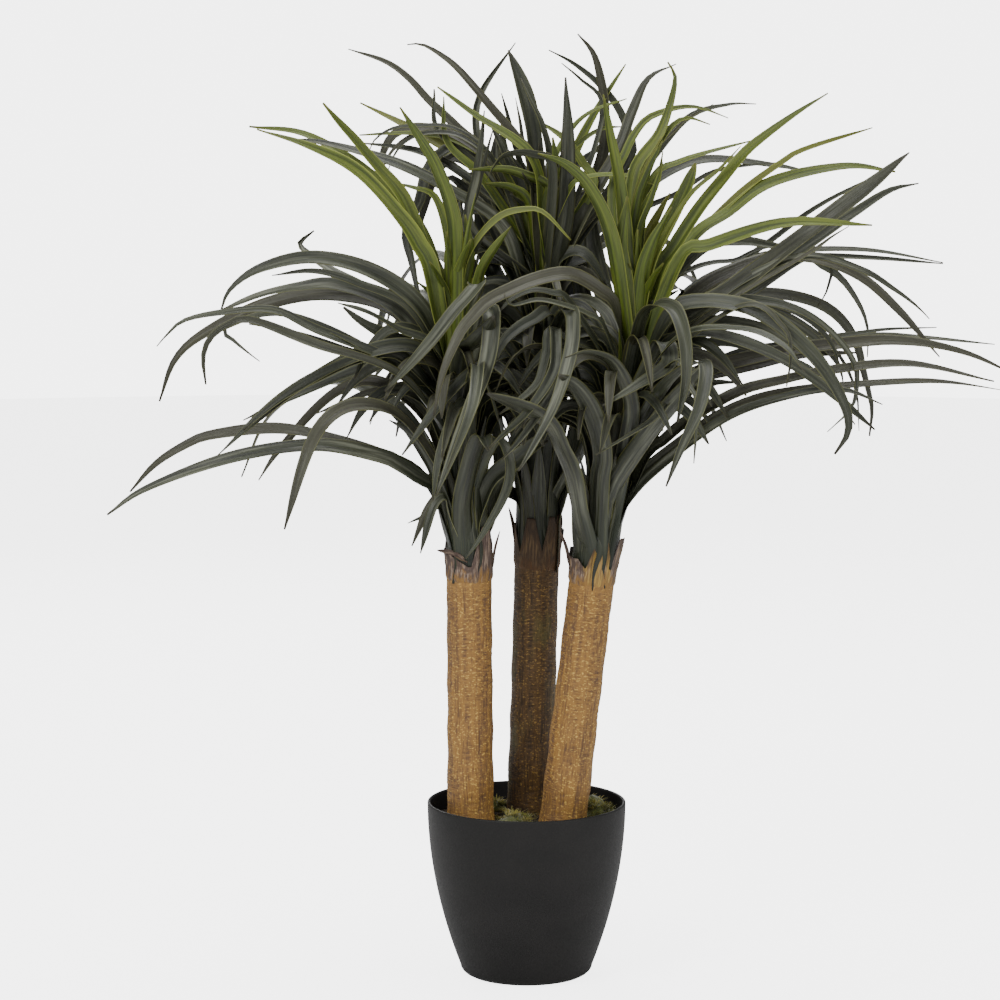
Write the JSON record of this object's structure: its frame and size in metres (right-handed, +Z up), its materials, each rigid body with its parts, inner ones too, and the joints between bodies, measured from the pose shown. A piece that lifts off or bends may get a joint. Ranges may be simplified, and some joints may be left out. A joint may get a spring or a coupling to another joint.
{
  "type": "potted three-cane palm",
  "caption": "Upright potted palm: turned plastic pot, mossed planting fill, bark-covered canes with husk collars, and crowns of arching strap leaves.",
  "frame": {"origin": "centre of the pot's flat foot, on the surface it stands on", "axes": "+Z up through the pot's axis; -Y is the front of the plant; +X towards the leaning cane"},
  "size_m": [0.8494, 0.4926, 0.897],
  "materials": {
    "pot_plastic": "moulded, fine matt grain",
    "planting_fill": "rough cast ballast with a soil-brown top",
    "moss": "loose dried moss",
    "cane_bark": "rough fibrous bark, ochre over purple-brown",
    "husk": "dry papery bracts",
    "leaf_dark": "satin, ribbed lengthwise",
    "leaf_light": "satin, ribbed lengthwise"
  },
  "bodies": {
    "root": {"pot": "pot_plastic", "planting_fill": "planting_fill", "moss_front": "moss", "moss_right": "moss", "moss_back": "moss", "cane_left": "cane_bark", "husk_left": "husk", "shoot_left": "leaf_dark", "leaf_left_01": "leaf_dark", "leaf_left_02": "leaf_dark", "leaf_left_03": "leaf_dark", "leaf_left_04": "leaf_dark", "leaf_left_05": "leaf_dark", "leaf_left_06": "leaf_dark", "leaf_left_07": "leaf_dark", "leaf_left_08": "leaf_dark", "leaf_left_09": "leaf_dark", "leaf_left_10": "leaf_dark", "leaf_left_11": "leaf_dark", "leaf_left_12": "leaf_light", "leaf_left_13": "leaf_light", "leaf_left_14": "leaf_dark", "leaf_left_15": "leaf_dark", "cane_back": "cane_bark", "husk_back": "husk", "shoot_back": "leaf_dark", "leaf_back_01": "leaf_dark", "leaf_back_02": "leaf_dark", "leaf_back_03": "leaf_dark", "leaf_back_04": "leaf_dark", "leaf_back_05": "leaf_dark", "leaf_back_06": "leaf_dark", "leaf_back_07": "leaf_dark", "leaf_back_08": "leaf_dark", "leaf_back_09": "leaf_dark", "leaf_back_10": "leaf_dark", "leaf_back_11": "leaf_dark", "leaf_back_12": "leaf_dark", "leaf_back_13": "leaf_dark", "leaf_back_14": "leaf_dark", "cane_right": "cane_bark", "husk_right": "husk", "shoot_right": "leaf_dark", "leaf_right_01": "leaf_dark", "leaf_right_02": "leaf_dark", "leaf_right_03": "leaf_dark", "leaf_right_04": "leaf_dark", "leaf_right_05": "leaf_dark", "leaf_right_06": "leaf_dark", "leaf_right_07": "leaf_dark", "leaf_right_08": "leaf_dark", "leaf_right_09": "leaf_light", "leaf_right_10": "leaf_light", "leaf_right_11": "leaf_light", "leaf_right_12": "leaf_light", "leaf_right_13": "leaf_light", "leaf_right_14": "leaf_dark", "leaf_right_15": "leaf_dark", "leaf_right_16": "leaf_dark", "leaf_right_17": "leaf_dark"}
  },
  "joints": []
}
